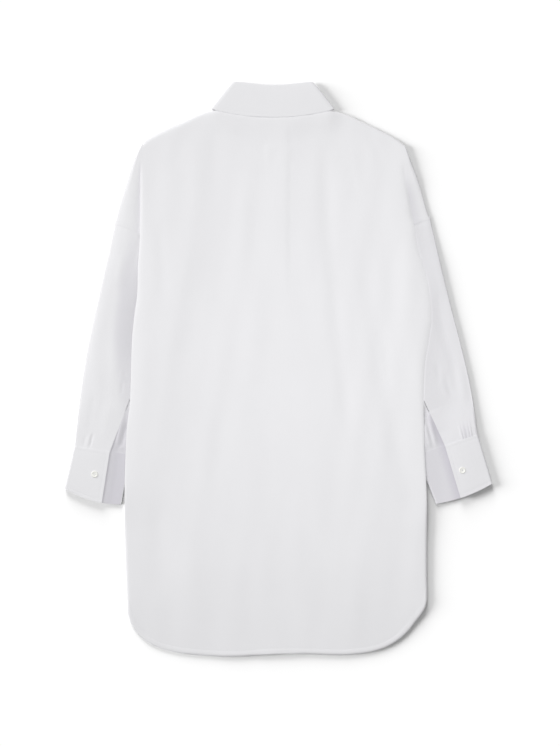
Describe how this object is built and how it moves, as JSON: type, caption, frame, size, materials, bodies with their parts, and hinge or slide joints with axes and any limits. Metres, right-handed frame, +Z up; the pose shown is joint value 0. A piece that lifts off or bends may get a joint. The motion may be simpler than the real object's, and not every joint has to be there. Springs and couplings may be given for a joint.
{
  "type": "shirt dress",
  "caption": "Long-sleeved shirt dress with a point collar, dropped shoulders, buttoned cuffs and a curved hem, laid flat face down.",
  "frame": {"origin": "under the middle of the garment's outline, on the surface it lies on", "axes": "+Z up from the surface, +Y from the hem to the neck, -X to the wearer's left sleeve; the garment lies face down"},
  "size_m": [0.6839, 0.9184, 0.0088],
  "materials": {
    "white_poplin": "matt plain-woven cotton",
    "pearl_button": "glossy pearl-white resin"
  },
  "bodies": {
    "root": {"back": "white_poplin", "front_left": "white_poplin", "front_right": "white_poplin", "placket_right": "white_poplin", "collar_stand": "white_poplin", "collar_fall": "white_poplin", "sleeve_left": "white_poplin", "sleeve_right": "white_poplin", "cuff_left": "white_poplin", "cuff_right": "white_poplin", "cuff_button_left": "pearl_button", "cuff_button_right": "pearl_button", "collar_button": "pearl_button", "front_button_1": "pearl_button", "front_button_2": "pearl_button", "front_button_3": "pearl_button", "front_button_4": "pearl_button", "front_button_5": "pearl_button", "front_button_6": "pearl_button", "front_button_7": "pearl_button", "front_button_8": "pearl_button"}
  },
  "joints": []
}
